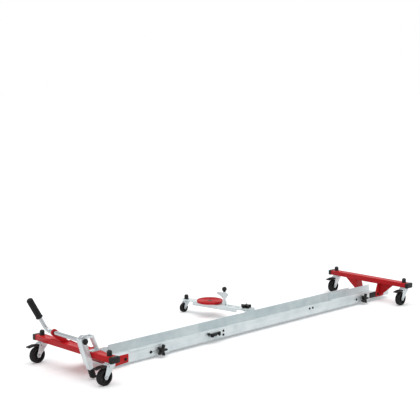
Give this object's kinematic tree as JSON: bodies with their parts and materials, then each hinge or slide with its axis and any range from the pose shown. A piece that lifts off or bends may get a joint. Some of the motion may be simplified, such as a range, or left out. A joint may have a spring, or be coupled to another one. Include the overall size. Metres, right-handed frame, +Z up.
{
  "type": "motorcycle mover dolly",
  "caption": "Low wheeled dolly for moving a parked motorcycle: telescoping wheel channel between two castor beams, swing-out side arm with turntable, lever-worked floor lock.",
  "frame": {"origin": "floor under the middle of the dolly's bounding box", "axes": "+X along the wheel channel towards the front wheel, +Y to the left, +Z up"},
  "size_m": [2.398, 0.8042, 0.3419],
  "materials": {
    "zinc_steel": "zinc plated",
    "bright_steel": "bright zinc",
    "red_paint": "gloss enamel",
    "black_plastic": "moulded",
    "black_rubber": "moulded",
    "black_steel": "black oxide"
  },
  "bodies": {
    "main_rail": {"middle_rail_rear": "zinc_steel", "middle_rail_front": "zinc_steel", "splice_plates": "zinc_steel", "splice_fasteners": "black_steel", "rail_bolts": "black_steel", "arm_bracket": "zinc_steel", "arm_pivot_bolt": "zinc_steel"},
    "rear_carriage": {"rear_trough": "zinc_steel", "rear_crossbeam": "red_paint", "rear_end_caps": "black_plastic", "rear_drop_bracket": "red_paint", "rear_bracket_bolts": "black_steel", "rear_kingpins": "zinc_steel", "rear_stem_domes": "black_plastic", "lock_housing": "bright_steel", "lock_bearing": "red_paint"},
    "front_carriage": {"front_tongue": "zinc_steel", "tongue_plug": "black_plastic", "front_crossbeam": "red_paint", "front_end_caps": "black_plastic", "front_drop_bracket": "red_paint", "front_bracket_bolts": "black_steel", "front_kingpins": "zinc_steel", "front_stem_domes": "black_plastic"},
    "lock_shaft": {"lock_lever": "bright_steel", "lock_grip": "black_rubber", "lock_shaft_cap": "black_plastic", "lock_cam": "bright_steel"},
    "lock_slide": {"lock_plunger": "bright_steel", "lock_foot": "black_rubber"},
    "rear_knob": {"rear_star_knob": "black_plastic"},
    "front_knob": {"front_star_knob": "black_plastic"},
    "pivot_knob": {"arm_pivot_knob": "black_plastic"},
    "latch": {"latch_hook": "black_plastic"},
    "swing_arm": {"side_arm": "zinc_steel", "turntable_screw": "black_steel", "arm_kingpin": "zinc_steel", "arm_stem_dome": "black_plastic"},
    "turntable": {"turntable_disc": "red_paint"},
    "arm_lever": {"arm_lock_lever": "bright_steel", "arm_ball_knob": "black_plastic"},
    "arm_swivel": {"arm_fork": "zinc_steel", "arm_axle": "zinc_steel"},
    "arm_roller": {"arm_wheel": "black_rubber"},
    "rear_left_swivel": {"rear_left_fork": "zinc_steel", "rear_left_axle": "zinc_steel"},
    "rear_left_roller": {"rear_left_wheel": "black_rubber"},
    "rear_left_pedal": {"rear_left_brake": "black_plastic"},
    "rear_right_swivel": {"rear_right_fork": "zinc_steel", "rear_right_axle": "zinc_steel"},
    "rear_right_roller": {"rear_right_wheel": "black_rubber"},
    "rear_right_pedal": {"rear_right_brake": "black_plastic"},
    "front_left_swivel": {"front_left_fork": "zinc_steel", "front_left_axle": "zinc_steel"},
    "front_left_roller": {"front_left_wheel": "black_rubber"},
    "front_left_pedal": {"front_left_brake": "black_plastic"},
    "front_right_swivel": {"front_right_fork": "zinc_steel", "front_right_axle": "zinc_steel"},
    "front_right_roller": {"front_right_wheel": "black_rubber"},
    "front_right_pedal": {"front_right_brake": "black_plastic"}
  },
  "joints": [
    {"name": "rear_slide", "type": "slide", "parent": "main_rail", "child": "rear_carriage", "axis": [1, 0, 0], "range_m": [-0.12, 0.09]},
    {"name": "front_slide", "type": "slide", "parent": "main_rail", "child": "front_carriage", "axis": [1, 0, 0], "range_m": [0, 0.09]},
    {"name": "lock_turn", "type": "hinge", "parent": "rear_carriage", "child": "lock_shaft", "pos_m": [-1.09402, -0.1181, 0.18], "axis": [0, 1, 0], "range_deg": [0, 90]},
    {"name": "lock_press", "type": "slide", "parent": "rear_carriage", "child": "lock_slide", "axis": [0.309, 0, -0.9511], "range_m": [0, 0.01]},
    {"name": "rear_knob_turn", "type": "hinge", "parent": "rear_carriage", "child": "rear_knob", "pos_m": [-0.59702, -0.1971, 0.034], "axis": [0, -1, 0], "continuous": true},
    {"name": "front_knob_turn", "type": "hinge", "parent": "main_rail", "child": "front_knob", "pos_m": [0.94798, -0.1936, 0.034], "axis": [0, -1, 0], "continuous": true},
    {"name": "pivot_knob_turn", "type": "hinge", "parent": "main_rail", "child": "pivot_knob", "pos_m": [0.17898, -0.0116, 0.07], "axis": [0, 0, 1], "continuous": true},
    {"name": "latch_swing", "type": "hinge", "parent": "main_rail", "child": "latch", "pos_m": [-0.25902, -0.1986, 0.039], "axis": [0, -1, 0], "range_deg": [0, 70]},
    {"name": "arm_swing", "type": "hinge", "parent": "main_rail", "child": "swing_arm", "pos_m": [0.17898, -0.0116, 0.066], "axis": [0, 0, 1], "range_deg": [-70, 60]},
    {"name": "turntable_turn", "type": "hinge", "parent": "swing_arm", "child": "turntable", "pos_m": [0.14044, 0.22123, 0.07], "axis": [0, 0, 1], "continuous": true},
    {"name": "arm_lever_tilt", "type": "hinge", "parent": "swing_arm", "child": "arm_lever", "pos_m": [0.15612, 0.12652, 0.082], "axis": [0.9866, 0.1633, 0], "range_deg": [0, 65]},
    {"name": "arm_castor_swivel", "type": "hinge", "parent": "swing_arm", "child": "arm_swivel", "pos_m": [0.11447, 0.3781, 0.066], "axis": [0, 0, 1], "continuous": true},
    {"name": "arm_wheel_spin", "type": "hinge", "parent": "arm_swivel", "child": "arm_roller", "pos_m": [0.09447, 0.3781, 0.025], "axis": [0, 1, 0], "continuous": true},
    {"name": "rear_left_castor_swivel", "type": "hinge", "parent": "rear_carriage", "child": "rear_left_swivel", "pos_m": [-1.03302, 0.1239, 0.1], "axis": [0, 0, 1], "continuous": true},
    {"name": "rear_left_wheel_spin", "type": "hinge", "parent": "rear_left_swivel", "child": "rear_left_roller", "pos_m": [-1.06302, 0.1239, 0.0375], "axis": [0, 1, 0], "continuous": true},
    {"name": "rear_left_brake_press", "type": "hinge", "parent": "rear_left_swivel", "child": "rear_left_pedal", "pos_m": [-1.04902, 0.1239, 0.083], "axis": [0, -1, 0], "range_deg": [0, 10]},
    {"name": "rear_right_castor_swivel", "type": "hinge", "parent": "rear_carriage", "child": "rear_right_swivel", "pos_m": [-1.03302, -0.3601, 0.1], "axis": [0, 0, 1], "continuous": true},
    {"name": "rear_right_wheel_spin", "type": "hinge", "parent": "rear_right_swivel", "child": "rear_right_roller", "pos_m": [-1.06302, -0.3601, 0.0375], "axis": [0, 1, 0], "continuous": true},
    {"name": "rear_right_brake_press", "type": "hinge", "parent": "rear_right_swivel", "child": "rear_right_pedal", "pos_m": [-1.04902, -0.3601, 0.083], "axis": [0, -1, 0], "range_deg": [0, 10]},
    {"name": "front_left_castor_swivel", "type": "hinge", "parent": "front_carriage", "child": "front_left_swivel", "pos_m": [1.10698, 0.1239, 0.1], "axis": [0, 0, 1], "continuous": true},
    {"name": "front_left_wheel_spin", "type": "hinge", "parent": "front_left_swivel", "child": "front_left_roller", "pos_m": [1.07698, 0.1239, 0.0375], "axis": [0, 1, 0], "continuous": true},
    {"name": "front_left_brake_press", "type": "hinge", "parent": "front_left_swivel", "child": "front_left_pedal", "pos_m": [1.09098, 0.1239, 0.083], "axis": [0, -1, 0], "range_deg": [0, 10]},
    {"name": "front_right_castor_swivel", "type": "hinge", "parent": "front_carriage", "child": "front_right_swivel", "pos_m": [1.10698, -0.3601, 0.1], "axis": [0, 0, 1], "continuous": true},
    {"name": "front_right_wheel_spin", "type": "hinge", "parent": "front_right_swivel", "child": "front_right_roller", "pos_m": [1.07698, -0.3601, 0.0375], "axis": [0, 1, 0], "continuous": true},
    {"name": "front_right_brake_press", "type": "hinge", "parent": "front_right_swivel", "child": "front_right_pedal", "pos_m": [1.09098, -0.3601, 0.083], "axis": [0, -1, 0], "range_deg": [0, 10]}
  ],
  "couplings": [
    {"joint": "lock_press", "follows": "lock_turn", "m_per_rad": 0.0063022}
  ]
}
